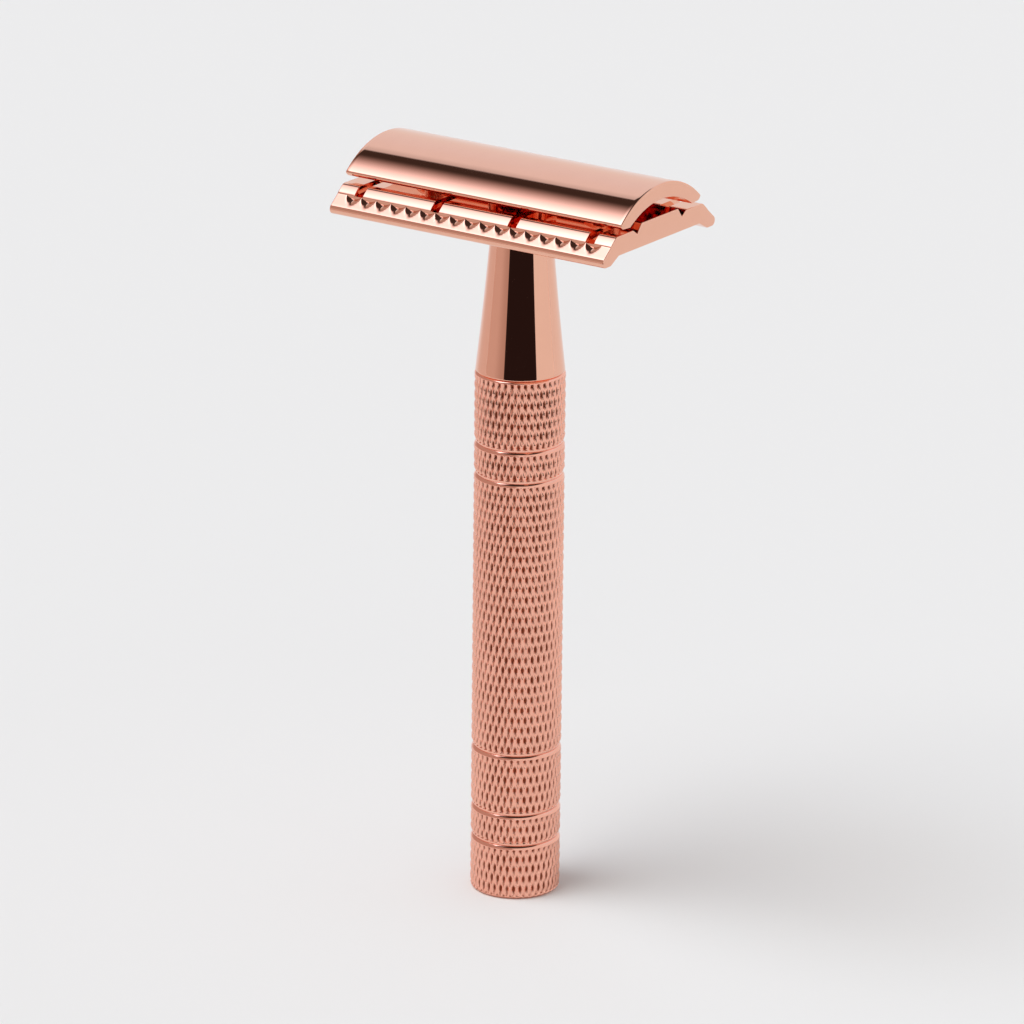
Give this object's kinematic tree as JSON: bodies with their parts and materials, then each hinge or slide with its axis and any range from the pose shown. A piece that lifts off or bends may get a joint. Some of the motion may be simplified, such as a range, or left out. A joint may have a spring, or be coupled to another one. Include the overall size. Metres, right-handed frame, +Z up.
{
  "type": "safety razor",
  "caption": "Double-edge safety razor with an arched cap and a slotted, scalloped guard plate, clamped by a threaded stud to a slim knurled handle with turned rings.",
  "frame": {"origin": "centre of the handle's foot, on the surface that the razor stands on", "axes": "+Z up along the handle; X along the head's length; Y across the head, front towards -Y"},
  "size_m": [0.0434, 0.026, 0.1011],
  "materials": {
    "polished_plate": "polished rose-gold plate",
    "knurled_plate": "knurled rose-gold plate",
    "stud_plate": "machined rose-gold plate",
    "bare_brass": "turned",
    "bare_steel": "bright drawn"
  },
  "bodies": {
    "handle": {"grip_tube": "knurled_plate", "end_plug": "polished_plate", "ballast_rod": "bare_steel", "handle_neck": "polished_plate", "thread_bush": "bare_brass"},
    "guard": {"base_plate": "polished_plate"},
    "cap_set": {"cap": "polished_plate", "cap_stud": "stud_plate", "locating_pin_left": "stud_plate", "locating_pin_right": "stud_plate"}
  },
  "joints": [
    {"name": "head_turn", "type": "hinge", "parent": "handle", "child": "guard", "pos_m": [0, 0, 0.0936], "axis": [0, 0, 1], "range_deg": [0, 3240]},
    {"name": "cap_lift", "type": "slide", "parent": "guard", "child": "cap_set", "axis": [0, 0, 1], "range_m": [0, 0.0072]}
  ],
  "couplings": [
    {"joint": "cap_lift", "follows": "head_turn", "m_per_rad": 0.00012732}
  ]
}
